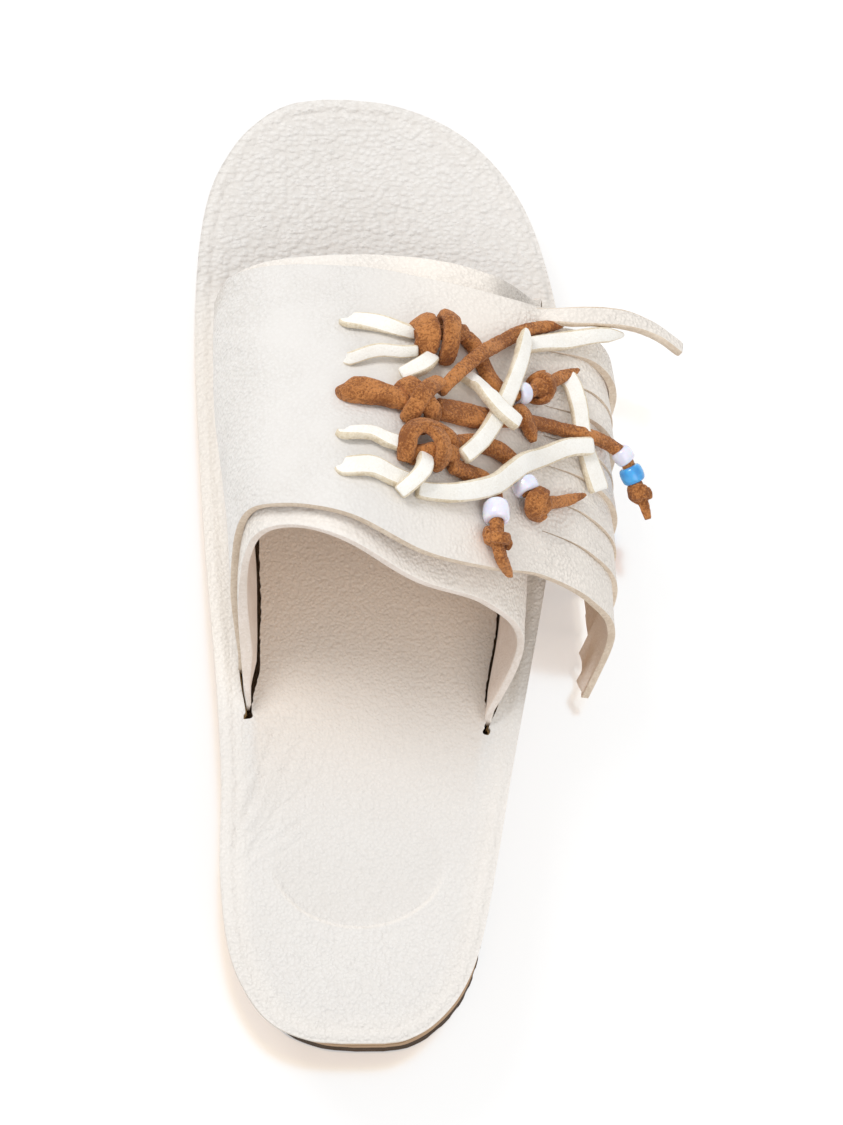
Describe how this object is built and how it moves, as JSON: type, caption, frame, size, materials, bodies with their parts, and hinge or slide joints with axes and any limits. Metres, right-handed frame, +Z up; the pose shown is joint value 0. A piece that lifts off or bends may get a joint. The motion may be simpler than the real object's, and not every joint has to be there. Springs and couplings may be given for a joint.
{
  "type": "platform slide sandal",
  "caption": "Right platform slide sandal with a wedge sole, leather footbed and a wide fringed strap tied with knotted, beaded cords.",
  "frame": {"origin": "on the floor plane, under the middle of the sole's length", "axes": "+Y towards the heel, +X towards the medial side of this right shoe, +Z up"},
  "size_m": [0.1307, 0.258, 0.0949],
  "materials": {
    "foam_brown": "matt foam",
    "foam_tan": "matt foam",
    "leather_cream": "pebbled",
    "suede_brown": "suede",
    "suede_white": "suede",
    "bead_white": "gloss",
    "bead_blue": "gloss"
  },
  "bodies": {
    "root": {"outsole": "foam_brown", "midsole_lower": "foam_brown", "midsole_middle": "foam_brown", "midsole_wedge": "foam_tan", "footbed": "leather_cream", "upper": "leather_cream", "bar_brown_middle": "suede_brown", "bar_white_front_1": "suede_white", "bar_white_front_2": "suede_white", "bar_white_rear_1": "suede_white", "bar_white_rear_2": "suede_white", "bead_blue_side": "bead_blue", "bead_white_front": "bead_white", "bead_white_rear_1": "bead_white", "bead_white_rear_2": "bead_white", "bead_white_side": "bead_white", "end_knot_front": "suede_brown", "end_knot_rear_1": "suede_brown", "end_knot_rear_2": "suede_brown", "end_knot_side": "suede_brown", "knot_front": "suede_brown", "knot_middle": "suede_brown", "knot_rear": "suede_brown", "lace_brown_front": "suede_brown", "lace_brown_long": "suede_brown", "lace_brown_rear_1": "suede_brown", "lace_brown_rear_2": "suede_brown", "lace_brown_side": "suede_brown", "lace_white_cross": "suede_white", "lace_white_front": "suede_white", "lace_white_rear": "suede_white", "loop_white_front": "suede_white", "loop_white_rear": "suede_white", "strand_white_side": "suede_white", "tail_brown_rear": "suede_brown"}
  },
  "joints": []
}
